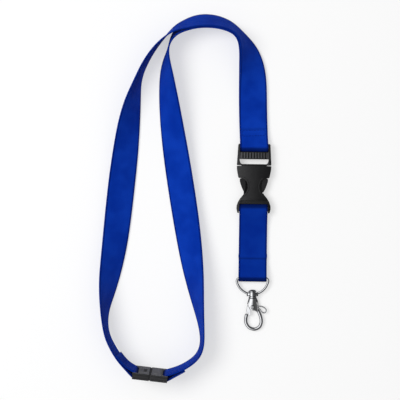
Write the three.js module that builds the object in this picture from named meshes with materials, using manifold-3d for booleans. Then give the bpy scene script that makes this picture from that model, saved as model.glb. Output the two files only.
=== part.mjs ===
// Lanyard lying flat: neck strap with a breakaway clasp, side-release buckle,
// badge strap, D-ring and swivel trigger hook. Millimetres, +Z up.
import * as THREE from 'three';
import { mergeVertices } from 'three/addons/utils/BufferGeometryUtils.js';
import Module from 'manifold-3d';

const wasm = await Module();
wasm.setup();

// Webbing
const STRAP_W = 20;
const STRAP_T = 1;
const PLY_GAP = 0.3;
const PLY_SIDE = (STRAP_T + PLY_GAP) / 2;
const BAR_R = 0.9;
const WRAP_R = 1.7;
const TAIL_LENGTH = 19;
const SEAM_GAP = 0.3;

// Side-release buckle: y runs from its split line towards the neck
const BUCKLE_X = 0.35;
const BUCKLE_Y = -12.4;
const BUCKLE_TURN = -0.8;
const BUCKLE_Z = 3.3;
const BUCKLE_T = 6.6;
const RAIL_INNER = 10.4;
const NECK_BAR_Y = 12;
const BADGE_BAR_Y = -29.6;
const CAVITY_HALF = 9.4;
const CAVITY_T = 4;
const ARM_T = 3.4;

// D-ring and hook
const RING_BAR_Y = -80.2;
const RING_BAR_Z = 3.1;
const RING_R = 11.4;
const RING_WIRE = 0.8;
const RING_WRAP = 1.9;
const RING_TURN = 0.8;
const RING_DROOP = 2.1;
const HOOK_TURN = 3;
const CLAW_WIRE = 1.15;
const PIN_X = -0.4;
const PIN_Y = -9;

// Breakaway clasp: standing almost on its long edge
const CLASP_X = -73.1;
const CLASP_Y = -159.7;
const CLASP_TURN = -6.5;
const CLASP_LEAN = 6;
const CLASP_HALF = 12.3;
const CLASP_W = 23.8;
const CLASP_T = 4.6;
const CLASP_BAR_U = 10.9;
const CLASP_SPLIT = 0.25;
const TONGUE = 6;

const WEBBING = { color: 0x123a9c, roughness: 0.75, metalness: 0 };
const THREAD = { color: 0x0e2f86, roughness: 0.7, metalness: 0 };
const PLASTIC = { color: 0x242427, roughness: 0.42, metalness: 0 };
const CHROME = { color: 0xd4d6da, roughness: 0.14, metalness: 1 };

// Where the webbing runs, seen from above, starting at the buckle's neck bar.
// Each row: x, y, tilt of the width about the run (0 flat, 90 on edge), lift.
const BOTH_STRANDS = [
  [0.25, 6.7, 0, 1.2],
  [0, 15, 0, 0.25],
  [-0.3, 26, 1, 0],
  [-0.4, 36, 4, 0],
  [-0.5, 45.3, 12, 0],
  [-1, 54.6, 24, 0],
  [-2.5, 63, 38, 0],
  [-4.6, 70.3, 54, 0],
  [-8, 77.8, 70, 0],
  [-12.2, 82.6, 72, 0],
  [-17.8, 86.3, 66, 0],
  [-24.6, 88.9, 62, 0],
  [-32.4, 90.1, 59, 0],
  [-40.3, 89.6, 60, 0],
  [-47.4, 87.1, 65, 0],
];
const OUTER_STRAND = [
  [-53.6, 85.4, 72, 0],
  [-60.6, 81, 84, 0],
  [-70.6, 70.8, 92, 0],
  [-78.4, 57.8, 96, 0],
  [-82.3, 47.4, 100, 0],
  [-85.1, 36.7, 116, 0],
  [-87.3, 25.3, 130, 0],
  [-89.3, 11.7, 142, 0],
  [-91.1, -3.3, 152, 0],
  [-93.3, -20.4, 159, 0],
  [-95.7, -41.9, 160, 0],
  [-98.1, -64, 152, 0],
  [-100.4, -79.7, 142, 0],
  [-102.7, -93.3, 131, 0],
  [-104.4, -104.7, 117, 0],
  [-105.6, -114.7, 103, 0.2],
  [-105.4, -124.7, 96, 0.6],
  [-103.7, -133.3, 95, 1],
  [-99.9, -141, 96, 1.4],
];
const OUTER_TAIL_ZONE = [
  [-94.9, -147.9, 96, 1.8],
  [-89.8, -153.7, 96, 2],
];
const INNER_STRAND = [
  [-53.4, 83.7, 70, 0],
  [-58, 78.1, 81, 0],
  [-60.7, 71, 90, 0],
  [-62, 62.4, 76, 0],
  [-61.9, 53.1, 63, 0],
  [-61.2, 43.1, 54, 0],
  [-60, 31.7, 45, 0],
  [-58.3, 17.4, 36, 0],
  [-55.7, -1.1, 26, 0],
  [-52.4, -22.6, 20, 0],
  [-49.4, -41.9, 20, 0],
  [-46.4, -61.9, 27, 0],
  [-44.1, -78.3, 37, 0],
  [-42, -92.6, 49, 0],
  [-40, -106.9, 63, 0],
  [-38, -119.7, 75, 0.2],
  [-36.6, -130.4, 82, 0.6],
  [-36.4, -139.4, 84, 1],
  [-39.1, -147, 84, 1.4],
];
const INNER_TAIL_ZONE = [
  [-45.1, -152.8, 84, 1.8],
  [-52.8, -157, 84, 2],
];

const v3 = (x, y, z) => new THREE.Vector3(x, y, z);
const UP = v3(0, 0, 1);
const rad = THREE.MathUtils.degToRad;

// ---- solids -------------------------------------------------------------

function solid(geometry) {
  const bare = new THREE.BufferGeometry();
  bare.setAttribute('position', geometry.getAttribute('position'));
  bare.setIndex(geometry.getIndex());
  const merged = mergeVertices(bare, 1e-5);
  const mesh = new wasm.Mesh({
    numProp: 3,
    vertProperties: new Float32Array(merged.getAttribute('position').array),
    triVerts: new Uint32Array(merged.getIndex().array),
  });
  return new wasm.Manifold(mesh);
}

function geometryOf(manifold) {
  const mesh = manifold.getMesh();
  const geometry = new THREE.BufferGeometry();
  geometry.setAttribute('position', new THREE.BufferAttribute(mesh.vertProperties, 3));
  geometry.setIndex(new THREE.BufferAttribute(mesh.triVerts, 1));
  return geometry;
}

const join = (...parts) => parts.reduce((sum, part) => sum.add(part));
const cut = (body, ...tools) => tools.reduce((rest, tool) => rest.subtract(tool), body);

function box(x0, x1, y0, y1, z0, z1) {
  const geometry = new THREE.BoxGeometry(x1 - x0, y1 - y0, z1 - z0);
  geometry.translate((x0 + x1) / 2, (y0 + y1) / 2, (z0 + z1) / 2);
  return solid(geometry);
}

// A rod along x, y or z, centred on (x, y, z).
function rod(axis, radius, length, x, y, z, sides = 20) {
  const geometry = new THREE.CylinderGeometry(radius, radius, length, sides);
  if (axis === 'x') geometry.rotateZ(Math.PI / 2);
  if (axis === 'z') geometry.rotateX(Math.PI / 2);
  geometry.translate(x, y, z);
  return solid(geometry);
}

// A flat plate with the outline [x, y] between two heights.
function plate(outline, z0, z1) {
  const shape = new THREE.Shape(outline.map(([x, y]) => new THREE.Vector2(x, y)));
  const geometry = new THREE.ExtrudeGeometry(shape, { depth: z1 - z0, bevelEnabled: false });
  geometry.translate(0, 0, z0);
  return solid(geometry);
}

// The same outline given for the right side only, from top to bottom.
function mirrored(right) {
  const left = right.map(([x, y]) => [-x, y]).reverse();
  return [...right, ...left].reverse();
}

function flipX(outline) {
  return outline.map(([x, y]) => [-x, y]).reverse();
}

// A round solid from [radius, y] rows, about the y axis.
function turned(profile, sides = 24) {
  const points = profile.map(([r, y]) => new THREE.Vector2(r, y));
  return solid(new THREE.LatheGeometry(points, sides));
}

function stitched(rings, closed) {
  const size = rings[0].length;
  const index = [];
  const last = closed ? rings.length : rings.length - 1;
  for (let i = 0; i < last; i += 1) {
    const near = i * size;
    const far = ((i + 1) % rings.length) * size;
    for (let k = 0; k < size; k += 1) {
      const next = (k + 1) % size;
      index.push(near + k, near + next, far + next);
      index.push(near + k, far + next, far + k);
    }
  }
  if (!closed) {
    const end = (rings.length - 1) * size;
    for (let k = 1; k < size - 1; k += 1) {
      index.push(0, k + 1, k);
      index.push(end, end + k, end + k + 1);
    }
  }
  const geometry = new THREE.BufferGeometry();
  const flat = rings.flat().flatMap((p) => [p.x, p.y, p.z]);
  geometry.setAttribute('position', new THREE.Float32BufferAttribute(flat, 3));
  geometry.setIndex(index);
  return geometry;
}

// Round wire along points that lie in one level plane.
function wire(points, radius, sides, closed) {
  const count = points.length;
  const rings = points.map((point, i) => {
    const before = closed ? points[(i + count - 1) % count] : points[Math.max(i - 1, 0)];
    const after = closed ? points[(i + 1) % count] : points[Math.min(i + 1, count - 1)];
    const along = after.clone().sub(before).normalize();
    const side = UP.clone().cross(along).normalize();
    return Array.from({ length: sides }, (_, k) => {
      const a = (2 * Math.PI * k) / sides;
      const out = side.clone().multiplyScalar(Math.cos(a) * radius);
      return point.clone().add(out).addScaledVector(UP, -Math.sin(a) * radius);
    });
  });
  rings.forEach((ring) => ring.reverse());
  return solid(stitched(rings, closed));
}

// Oval cross-sections stacked down the y axis: { y, x, rx, rz }.
function ovalLoft(sections, sides = 24) {
  const rings = sections.map(({ y, x, rx, rz }) =>
    Array.from({ length: sides }, (_, k) => {
      const a = (2 * Math.PI * k) / sides;
      return v3(x + Math.cos(a) * rx, y, -Math.sin(a) * rz);
    }));
  rings.forEach((ring) => ring.reverse());
  return solid(stitched(rings, false));
}

function smoothPath(points, count) {
  const curve = new THREE.CatmullRomCurve3(points.map(([x, y]) => v3(x, y, 0)));
  return curve.getPoints(count);
}

// ---- webbing ------------------------------------------------------------

// Turns route rows into control points: centre, width direction and normal.
function controls(rows, side) {
  return rows.map(([x, y, tilt, lift], i) => {
    const before = rows[Math.max(i - 1, 0)];
    const after = rows[Math.min(i + 1, rows.length - 1)];
    const along = v3(after[0] - before[0], after[1] - before[1], 0).normalize();
    const left = UP.clone().cross(along);
    const t = rad(tilt);
    const width = left.multiplyScalar(Math.cos(t)).addScaledVector(UP, Math.sin(t));
    const level = (STRAP_T / 2 + Math.abs(side[i])) * Math.abs(Math.cos(t));
    const z = (STRAP_W / 2) * Math.sin(t) + level + lift;
    return { centre: v3(x, y, z), width, side: side[i] };
  });
}

// Control points of webbing that arrives at a bar, turns round it and leaves.
function aroundBar(centre, toward, width, radius, entry) {
  const out = toward.clone().cross(width).normalize();
  const at = (along, across) => ({
    centre: centre.clone().addScaledVector(toward, along).addScaledVector(out, across),
    width,
    side: 0,
  });
  const bend = radius / 0.9;
  const turn = [-90, -45, 0, 45, 90].map((deg) => {
    const a = rad(deg);
    return at(Math.cos(a) * bend, -Math.sin(a) * bend);
  });
  return [at(-entry, radius), ...turn, at(-entry, -radius)];
}

// The point a fraction t along one span of a cubic B-spline.
function splinePoint(four, t) {
  const weights = [
    (1 - t) ** 3,
    3 * t ** 3 - 6 * t ** 2 + 4,
    -3 * t ** 3 + 3 * t ** 2 + 3 * t + 1,
    t ** 3,
  ];
  const point = { centre: v3(0, 0, 0), width: v3(0, 0, 0), side: 0 };
  weights.forEach((weight, k) => {
    point.centre.addScaledVector(four[k].centre, weight / 6);
    point.width.addScaledVector(four[k].width, weight / 6);
    point.side += (four[k].side * weight) / 6;
  });
  return point;
}

function addFrames(path) {
  const centres = path.map(({ centre }) => centre.clone());
  path.forEach((station, i) => {
    const before = centres[Math.max(i - 1, 0)];
    const after = centres[Math.min(i + 1, path.length - 1)];
    station.along = after.clone().sub(before).normalize();
    station.width.addScaledVector(station.along, -station.width.dot(station.along)).normalize();
    station.normal = station.along.clone().cross(station.width);
  });
}

// Cross-section stations along a cubic B-spline. Each control point's side
// moves the webbing off the route along its own normal, for doubled plies.
function stations(points, steps = 4) {
  const beyond = (a, b) => ({ ...a, centre: a.centre.clone().multiplyScalar(2).sub(b.centre) });
  const count = points.length;
  const all = [
    beyond(points[0], points[1]),
    ...points,
    beyond(points[count - 1], points[count - 2]),
  ];
  const path = [];
  for (let i = 0; i < all.length - 3; i += 1) {
    for (let k = 0; k < steps; k += 1) path.push(splinePoint(all.slice(i, i + 4), k / steps));
  }
  path.push(splinePoint(all.slice(-4), 1));
  addFrames(path);
  path.forEach((station) => station.centre.addScaledVector(station.normal, station.side));
  return path;
}

function ribbon(path, width = STRAP_W, thickness = STRAP_T) {
  const rings = path.map(({ centre, width: w, normal: n }) =>
    [[1, -1], [1, 1], [-1, 1], [-1, -1]].map(([a, b]) =>
      centre.clone().addScaledVector(w, (a * width) / 2).addScaledVector(n, (b * thickness) / 2)));
  return solid(stitched(rings, false));
}

// The part of a path between two distances from its start.
function stretch(path, from, to) {
  let run = 0;
  const kept = [];
  path.forEach((station, i) => {
    if (i > 0) run += station.centre.distanceTo(path[i - 1].centre);
    if (run >= from && run <= to) kept.push(station);
  });
  return kept;
}

function lengthOf(path) {
  return path.slice(1).reduce((sum, s, i) => sum + s.centre.distanceTo(path[i].centre), 0);
}

// ---- frames -------------------------------------------------------------

function frameOf(x, y, z, turn, parent = new THREE.Matrix4(), droop = 0) {
  const local = new THREE.Matrix4().makeTranslation(x, y, z);
  local.multiply(new THREE.Matrix4().makeRotationZ(rad(turn)));
  local.multiply(new THREE.Matrix4().makeRotationX(rad(droop)));
  return parent.clone().multiply(local);
}

// x along the clasp, y up its width, z towards the outside of the loop.
function claspFrame() {
  const along = v3(Math.cos(rad(CLASP_TURN)), Math.sin(rad(CLASP_TURN)), 0);
  const outward = along.clone().cross(UP);
  const width = UP.clone().multiplyScalar(Math.cos(rad(CLASP_LEAN)));
  width.addScaledVector(outward, Math.sin(rad(CLASP_LEAN)));
  const normal = along.clone().cross(width);
  const frame = new THREE.Matrix4().makeBasis(along, width, normal);
  const rise = (CLASP_W / 2) * width.z + (CLASP_T / 2) * Math.abs(normal.z);
  return frame.setPosition(CLASP_X, CLASP_Y, rise);
}

const BUCKLE = frameOf(BUCKLE_X, BUCKLE_Y, 0, BUCKLE_TURN);
const RING = frameOf(0, RING_BAR_Y, RING_BAR_Z, RING_TURN, BUCKLE, RING_DROOP);
const HOOK = frameOf(0, -RING_R, 0, HOOK_TURN, RING);
const CLASP = claspFrame();

const pointIn = (frame, x, y, z) => v3(x, y, z).applyMatrix4(frame);
const directionIn = (frame, x, y, z) => v3(x, y, z).transformDirection(frame);

// ---- neck strap ---------------------------------------------------------

function sides(rows, strandRows, tailRows, sign) {
  return [
    ...rows.map(() => PLY_SIDE * sign),
    ...strandRows.map((_, i) => (i === 0 ? (PLY_SIDE * sign) / 2 : 0)),
    ...tailRows.map(() => PLY_SIDE),
  ];
}

// Both strands end the same way: round a clasp bar, then back as a sewn tail.
function claspEnd(zone, barU) {
  const bar = pointIn(CLASP, barU, 0, 0);
  const width = directionIn(CLASP, 0, 1, 0);
  const near = zone[zone.length - 1].centre;
  const toward = bar.clone().sub(near);
  toward.addScaledVector(width, -toward.dot(width)).normalize();
  return aroundBar(bar, toward, width, WRAP_R, 2.6);
}

function strandPath(strandRows, tailRows, sign, barU, lead) {
  const rows = [...BOTH_STRANDS, ...strandRows, ...tailRows];
  const route = controls(rows, sides(BOTH_STRANDS, strandRows, tailRows, sign));
  const zone = route.slice(-tailRows.length);
  const before = route[route.length - tailRows.length - 1];
  const back = [...[...zone].reverse(), { ...before, side: PLY_SIDE }];
  return stations([...lead, ...route, ...claspEnd(zone, barU), ...back]);
}

// Trims the sewn tail to its length, measured back from the clasp bar.
function trimTail(path, barU) {
  const bar = pointIn(CLASP, barU, 0, 0);
  let turn = 0;
  path.forEach((station, i) => {
    if (station.centre.distanceTo(bar) < path[turn].centre.distanceTo(bar)) turn = i;
  });
  const toTurn = lengthOf(path.slice(0, turn + 1));
  return stretch(path, 0, toTurn + TAIL_LENGTH);
}

// The outer strand also takes the turn round the buckle's neck bar.
function neckBarTurn() {
  const bar = pointIn(BUCKLE, 0, NECK_BAR_Y, BUCKLE_Z);
  const width = directionIn(BUCKLE, -1, 0, 0);
  const toward = directionIn(BUCKLE, 0, -1, 0);
  const start = controls(BOTH_STRANDS.slice(0, 2), [PLY_SIDE, PLY_SIDE])[0];
  start.centre.y -= SEAM_GAP + 0.5;
  return [start, ...aroundBar(bar, toward, width, WRAP_R, 2.2)];
}

const OUTER_PATH = trimTail(
  strandPath(OUTER_STRAND, OUTER_TAIL_ZONE, 1, -CLASP_BAR_U, neckBarTurn()),
  -CLASP_BAR_U,
);
const INNER_PATH = trimTail(
  strandPath(INNER_STRAND, INNER_TAIL_ZONE, -1, CLASP_BAR_U, []),
  CLASP_BAR_U,
);
const PLUG_END_LENGTH = 72;

function innerStrand() {
  return ribbon(stretch(INNER_PATH, 0, lengthOf(INNER_PATH) - PLUG_END_LENGTH));
}

function plugEnd() {
  const main = stretch(INNER_PATH, 0, lengthOf(INNER_PATH) - PLUG_END_LENGTH);
  const rest = INNER_PATH.slice(main.length - 1).map((station) => ({ ...station }));
  rest[0].centre = rest[0].centre.clone().addScaledVector(rest[0].along, SEAM_GAP);
  return ribbon(rest);
}

// Thread lines sewn across the webbing near a tail's end, on the tail's face.
function tailStitching(path) {
  const end = lengthOf(path);
  const spot = stretch(path, end - 5, end)[0];
  const face = STRAP_T / 2 + 0.4;
  const centre = spot.centre.clone().addScaledVector(spot.normal, face);
  const frame = new THREE.Matrix4().makeBasis(spot.along, spot.width, spot.normal);
  frame.setPosition(centre);
  const outer = box(-2, 2, -8, 8, -0.15, 0.15);
  return moved(cut(outer, box(-1.5, 1.5, -7.5, 7.5, -1, 1)), frame);
}

function neckStitching() {
  const row = OUTER_PATH.filter(({ centre }) => centre.y > 8 && centre.y < 14 && centre.x > -9);
  const top = Math.max(...row.map(({ centre }) => centre.z)) + STRAP_T / 2 + 0.3;
  const frame = box(-7.9, 8.3, 9.1, 13.1, top, top + 0.3);
  return cut(frame, box(-7.4, 7.8, 9.6, 12.6, 0, 20));
}

// ---- breakaway clasp ----------------------------------------------------

function claspHalf(sign) {
  const u = (a, b) => (sign < 0 ? [-b, -a] : [a, b]);
  const half = CLASP_W / 2;
  const depth = CLASP_T / 2;
  const body = box(...u(CLASP_SPLIT, CLASP_HALF), -half, half, -depth, depth);
  const window = box(...u(7.9, 20), -RAIL_INNER, RAIL_INNER, -9, 9);
  const bar = rod('y', BAR_R, CLASP_W - 1, sign * CLASP_BAR_U, 0, 0);
  return join(cut(body, window), bar);
}

function breakawaySocket() {
  const cavity = box(-TONGUE - 0.6, 1, -6.6, 6.6, -1.2, 1.2);
  const latchHole = rod('z', 1.3, 3, -3.9, 0, -2, 16);
  const panel = cut(
    box(-7, -1, -8.4, 8.4, -CLASP_T / 2 - 0.3, CLASP_T / 2 + 0.3),
    box(-6.4, -1.6, -7.8, 7.8, -9, -CLASP_T / 2),
    box(-6.4, -1.6, -7.8, 7.8, CLASP_T / 2, 9),
  );
  return cut(join(claspHalf(-1), panel), cavity, latchHole);
}

function breakawayPlug() {
  const tongue = box(-TONGUE, 1, -6.2, 6.2, -0.8, 0.8);
  const bump = rod('z', 0.9, 0.6, -3.9, 0, -0.8, 16);
  const panel = box(1.6, 7, -8, 8, -CLASP_T / 2 - 0.3, CLASP_T / 2 + 0.3);
  return join(claspHalf(1), tongue, bump, panel);
}

// ---- side-release buckle ------------------------------------------------

const level = (half) => [BUCKLE_Z - half, BUCKLE_Z + half];

// Male half: side rails, neck bar, ribbed bar, open slot, base and guide.
function plugFrame() {
  const outline = mirrored([
    [11, 15.3],
    [11.4, 14.6],
    [11.7, 9],
    [12.2, 0.6],
    [12, 0.3],
    [9.1, 0.2],
  ]);
  const body = plate(outline, ...level(2.9));
  const strapGap = box(-RAIL_INNER, RAIL_INNER, 9.5, 20, -5, 20);
  const slot = plate(mirrored([[10.4, 4.6], [10.3, 3.4], [9.7, 1.8], [8.8, 1]]), -5, 20);
  const bar = rod('x', BAR_R, 2 * RAIL_INNER + 1, 0, NECK_BAR_Y, BUCKLE_Z);
  const base = box(-9.1, 9.1, -3, 0.2, ...level(ARM_T / 2));
  const guide = plate(mirrored([[2, -2], [2, -14], [1.2, -17]]), ...level(1.2));
  const ribbed = box(-9.8, 9.8, 5, 9.6, BUCKLE_Z + 1.9, 20);
  const frame = join(cut(body, strapGap, slot, ribbed), bar, base, guide);
  return join(frame, ...gripRibs());
}

function gripRibs() {
  const ribs = [];
  for (let x = -9; x < 9.1; x += 2) {
    ribs.push(box(x - 0.55, x + 0.55, 5.1, 9.2, BUCKLE_Z + 1.5, BUCKLE_Z + 3.25));
  }
  return ribs;
}

// Spring arm: a root beside the base, then the finger pad in the side window.
function buckleArm(sign) {
  const right = [
    [8.6, -3.6],
    [8.8, -8.9],
    [10, -9.5],
    [10, -11.2],
    [9.3, -13.5],
    [8.3, -16.2],
    [6.9, -19],
    [6.2, -19],
    [5.7, -15.5],
    [5.8, -10],
    [6.6, -8.4],
    [6.6, -3.6],
  ];
  const outline = sign > 0 ? [...right].reverse() : flipX([...right].reverse());
  return plate(outline, ...level(ARM_T / 2));
}

function socketOutline() {
  return mirrored([
    [12, -0.3],
    [12.2, -0.8],
    [12.1, -3],
    [11.1, -8.3],
    [10.5, -8.9],
    [9.4, -8.9],
    [9.4, -19.8],
    [7, -19.8],
    [7.2, -20.6],
    [9.4, -23.2],
    [11, -25.8],
    [12, -28.6],
    [12.1, -30.8],
    [11.5, -33.4],
    [11.1, -33.8],
  ]);
}

// Side window that bares the finger pad, as an outline on the right.
const WINDOW = [
  [20, -8.9],
  [8.9, -8.9],
  [6.4, -10],
  [4.9, -12],
  [4.3, -14.4],
  [4.6, -17],
  [5.7, -19.4],
  [6.4, -19.8],
  [20, -19.8],
];

// Female half: a shell open at the mouth and sides, with horns for its bar.
function buckleSocket() {
  const body = plate(socketOutline(), 0, BUCKLE_T);
  const cavity = box(-CAVITY_HALF, CAVITY_HALF, -19.4, 1, ...level(CAVITY_T / 2));
  const windows = [
    plate([...WINDOW].reverse(), -5, 20),
    plate(flipX([...WINDOW].reverse()), -5, 20),
  ];
  const strapGap = box(-RAIL_INNER, RAIL_INNER, -50, -27.1, -5, 20);
  const lip = plate(mirrored([[8.8, -24.7], [9.6, -25.4], [9.8, -28]]), 4.2, 20);
  const bar = rod('x', BAR_R, 2 * RAIL_INNER + 1, 0, BADGE_BAR_Y, BUCKLE_Z);
  const tray = box(-6.4, 6.4, -19.6, -8.7, 0, 1);
  return join(cut(body, cavity, ...windows, strapGap, lip), bar, tray);
}

// ---- badge strap --------------------------------------------------------

// One strip looped round the buckle's lower bar and the D-ring's bar.
function badgeStrapPath() {
  const width = directionIn(BUCKLE, -1, 0, 0);
  const at = (y, z) => ({ centre: pointIn(BUCKLE, 0, y, z), width: width.clone(), side: 0 });
  // Both turns are taken the other way up from a turn that enters on top.
  const turn = (bar, toward, radius) =>
    aroundBar(bar, toward, width.clone().negate(), radius, 2.4).map((control) => ({
      ...control,
      width: width.clone(),
    }));
  const top = turn(
    pointIn(BUCKLE, 0, BADGE_BAR_Y, BUCKLE_Z),
    directionIn(BUCKLE, 0, 1, 0),
    WRAP_R,
  );
  const bottom = turn(
    pointIn(BUCKLE, 0, RING_BAR_Y, RING_BAR_Z),
    directionIn(BUCKLE, 0, -1, 0),
    RING_WRAP,
  );
  const under = [at(-51, 0.6), at(-45, 0.55), at(-39, 0.7)];
  const over = [at(-39, 2.7), at(-46, 1.95), at(-58, 1.85), at(-70, 2.2)];
  const back = [at(-71, 0.7), at(-62, 0.55), at(-51.4, 0.6)];
  return stations([...under, ...top, ...over, ...bottom, ...back], 3);
}

// Two thread rows across the badge strap above the D-ring.
function badgeStitching() {
  const row = BADGE_PATH.filter(({ centre }) => centre.z > 1.3);
  const target = pointIn(BUCKLE, 0, -64.5, 0).y;
  const near = row.reduce((best, station) =>
    Math.abs(station.centre.y - target) < Math.abs(best.centre.y - target) ? station : best);
  const z = near.centre.z + STRAP_T / 2 + 0.35;
  const frame = box(-9.2, 9.2, -65.8, -63.2, z, z + 0.3);
  return moved(cut(frame, box(-8.7, 8.7, -65.3, -63.7, 0, 20)), BUCKLE);
}

const BADGE_PATH = badgeStrapPath();

// ---- D-ring and hook ----------------------------------------------------

function dRing() {
  const arc = [];
  for (let deg = -10; deg >= -170; deg -= 8) {
    arc.push(v3(Math.cos(rad(deg)) * RING_R, Math.sin(rad(deg)) * RING_R, 0));
  }
  const leftCorner = [v3(-10.85, -0.75, 0), v3(-10.2, -0.2, 0), v3(-9.5, 0, 0)];
  const rightCorner = [v3(9.5, 0, 0), v3(10.2, -0.2, 0), v3(10.85, -0.75, 0)];
  const loop = wire([...leftCorner, ...rightCorner, ...arc], RING_WIRE, 12, true);
  const boss = rod('y', 2.05, 2.6, 0, -RING_R, 0);
  const ears = rod('x', 1.15, 7, 0, -RING_R, 0, 16);
  const hole = rod('y', 1.4, 8, 0, -RING_R, 0);
  return cut(join(loop, boss, ears), hole);
}

// Rivet-headed stem through the ring's boss, with a collar below.
function swivelStem() {
  return turned([
    [0, -2.5],
    [2.5, -2.5],
    [2.6, -2.1],
    [2.5, -1.65],
    [1.05, -1.65],
    [1.05, 1.65],
    [2.3, 1.65],
    [2.35, 2],
    [1.9, 2.7],
    [1, 3.15],
    [0, 3.3],
  ]);
}

const CLAW_ROUTE = [
  [3.1, -11.2],
  [4.3, -14],
  [5.2, -17.5],
  [5.2, -20.6],
  [3.6, -23.7],
  [0.1, -25],
  [-3.5, -23.7],
  [-5.5, -20.6],
  [-5.7, -17.5],
  [-5.1, -14.9],
];

function hookBody() {
  const cone = ovalLoft([
    { y: -2.8, x: 0, rx: 2.3, rz: 2.1 },
    { y: -3.6, x: 0, rx: 2.45, rz: 2.15 },
    { y: -8, x: -0.15, rx: 3.5, rz: 1.85 },
    { y: -11.5, x: -0.4, rx: 4.4, rz: 1.75 },
    { y: -12.9, x: -0.4, rx: 4.6, rz: 1.6 },
  ]);
  const eye = rod('z', 1, 20, 0, 0, 0, 36).scale([4.5, 7.6, 1]).translate([0, -19, 0]);
  const gateSide = plate([
    [-9, -7.3],
    [-3.2, -7.3],
    [-1.8, -10.9],
    [-0.7, -11],
    [-0.7, -14],
    [-9, -14],
  ], -5, 5);
  const slot = box(-8, 8, -11.6, -5.6, -1.1, 1.1);
  const pinHole = rod('z', 0.85, 20, PIN_X, PIN_Y, 0, 16);
  const claw = wire(smoothPath(CLAW_ROUTE, 32), CLAW_WIRE, 12, false);
  const tip = solid(new THREE.SphereGeometry(1.25, 14, 10).translate(-5.05, -14.8, 0));
  return join(cut(cone, eye, gateSide, slot, pinHole), claw, tip);
}

// Spring gate: a nose that shuts on the claw's tip and a looped thumb lever.
function hookGate() {
  const nose = plate([
    [-3.5, -7.75],
    [-2.95, -9.3],
    [-2.1, -11.5],
    [-2.1, -12.6],
    [-2.3, -14.6],
    [-3.1, -15],
    [-3.5, -13.3],
    [-4.9, -12.9],
    [-5.05, -12.3],
    [-4, -7.9],
  ].reverse(), -1.6, 1.6);
  const lever = plate([
    [-3.4, -8],
    [-0.4, -7.4],
    [4.2, -8],
    [7, -8.9],
    [9, -10.8],
    [9.7, -12.8],
    [9, -14.3],
    [7.5, -14.9],
    [6.7, -14.5],
    [6.25, -13.4],
    [5.7, -11.9],
    [4.4, -10.6],
    [-0.4, -10.6],
    [-2.6, -11.4],
    [-3.4, -10],
  ].reverse(), -0.75, 0.75);
  const loopHole = plate([
    [5, -9.3],
    [6.8, -9.9],
    [8.1, -11.3],
    [8.6, -12.8],
    [8.2, -13.6],
    [7.5, -13.9],
    [7.1, -13.6],
    [6.7, -12.6],
    [6.2, -11.2],
  ].reverse(), -3, 3);
  const pinHole = rod('z', 0.85, 20, PIN_X, PIN_Y, 0, 16);
  return cut(join(nose, lever), loopHole, pinHole);
}

function gatePin() {
  const shaft = rod('z', 0.55, 4.3, PIN_X, PIN_Y, 0, 16);
  const top = rod('z', 1.15, 0.25, PIN_X, PIN_Y, 2.2, 18);
  const bottom = rod('z', 1.15, 0.25, PIN_X, PIN_Y, -2.2, 18);
  return join(shaft, top, bottom);
}

function gateSpring() {
  return box(-1.9, 1.1, -6.65, -6.25, -0.6, 0.6);
}

// ---- assembly -----------------------------------------------------------

function moved(manifold, frame) {
  return manifold.transform(frame.elements);
}

function inFrame(manifold, frame) {
  return geometryOf(moved(manifold, frame));
}

const PARTS = [
  ['neck_strap_outer', geometryOf(ribbon(OUTER_PATH)), WEBBING],
  ['neck_strap_inner', geometryOf(innerStrand()), WEBBING],
  ['strap_end_plug', geometryOf(plugEnd()), WEBBING],
  ['neck_join_stitching', geometryOf(neckStitching()), THREAD],
  ['tail_stitching_socket', geometryOf(tailStitching(OUTER_PATH)), THREAD],
  ['tail_stitching_plug', geometryOf(tailStitching(INNER_PATH)), THREAD],
  ['breakaway_socket', inFrame(breakawaySocket(), CLASP), PLASTIC],
  ['breakaway_plug', inFrame(breakawayPlug(), CLASP), PLASTIC],
  ['buckle_plug_frame', inFrame(plugFrame(), BUCKLE), PLASTIC],
  ['buckle_arm_left', inFrame(buckleArm(-1), BUCKLE), PLASTIC],
  ['buckle_arm_right', inFrame(buckleArm(1), BUCKLE), PLASTIC],
  ['buckle_socket', inFrame(buckleSocket(), BUCKLE), PLASTIC],
  ['badge_strap', geometryOf(ribbon(BADGE_PATH)), WEBBING],
  ['badge_strap_stitching', geometryOf(badgeStitching()), THREAD],
  ['d_ring', inFrame(dRing(), RING), CHROME],
  ['swivel_stem', inFrame(swivelStem(), HOOK), CHROME],
  ['hook_body', inFrame(hookBody(), HOOK), CHROME],
  ['hook_gate', inFrame(hookGate(), HOOK), CHROME],
  ['gate_pin', inFrame(gatePin(), HOOK), CHROME],
  ['gate_spring', inFrame(gateSpring(), HOOK), CHROME],
];

function assemble() {
  const group = new THREE.Group();
  group.name = 'lanyard_badge_holder';
  const bounds = new THREE.Box3();
  for (const [name, geometry, finish] of PARTS) {
    const mesh = new THREE.Mesh(geometry, new THREE.MeshStandardMaterial(finish));
    mesh.name = name;
    geometry.computeBoundingBox();
    bounds.union(geometry.boundingBox);
    group.add(mesh);
  }
  const middle = bounds.getCenter(v3(0, 0, 0));
  for (const mesh of group.children) {
    mesh.geometry.translate(-middle.x, -middle.y, -bounds.min.z);
  }
  return group;
}

export default assemble();
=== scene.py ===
"""Lanyard badge holder on a pale table: woven webbing, sewn thread, moulded plastic, chrome."""

import math
import random

import bmesh
import bpy
from mathutils import Matrix, Vector, noise


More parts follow.
